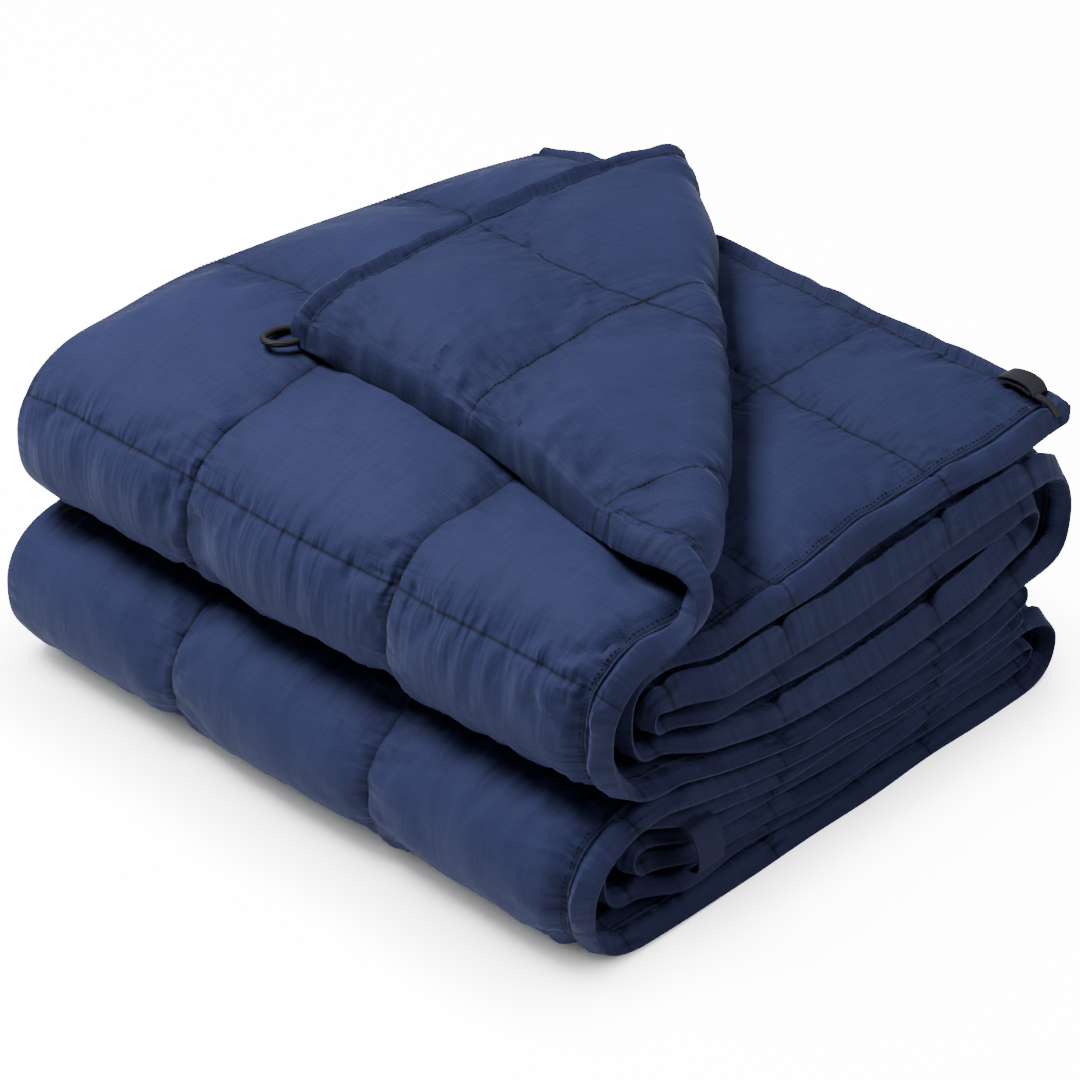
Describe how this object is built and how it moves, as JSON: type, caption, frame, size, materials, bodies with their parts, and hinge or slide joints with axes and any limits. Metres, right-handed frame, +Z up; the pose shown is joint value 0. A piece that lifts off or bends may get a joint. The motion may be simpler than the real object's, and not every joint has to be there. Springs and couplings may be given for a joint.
{
  "type": "folded weighted blanket",
  "caption": "Quilted weighted blanket with a bound edge, folded into a stack of two bundles with the top corner turned back to show its elastic loop.",
  "frame": {"origin": "under the middle of the stack's bounding box, on the surface that it rests on", "axes": "+X along the near side with the bound edges, from the round left folds to the free right ends; +Y away from that side; +Z up"},
  "size_m": [0.4157, 0.438, 0.2315],
  "materials": {
    "quilted_body": "soft woven cotton, slight sheen",
    "binding_upper": "soft woven cotton, slight sheen",
    "binding_lower": "soft woven cotton, slight sheen",
    "elastic_loop": "braided elastic, matte",
    "ribbon_tab_corner": "woven ribbon, satin",
    "ribbon_tab_side": "woven ribbon, satin"
  },
  "bodies": {
    "root": {"quilted_body": "quilted_body", "binding_upper": "binding_upper", "binding_lower": "binding_lower", "elastic_loop": "elastic_loop", "ribbon_tab_corner": "ribbon_tab_corner", "ribbon_tab_side": "ribbon_tab_side"}
  },
  "joints": []
}
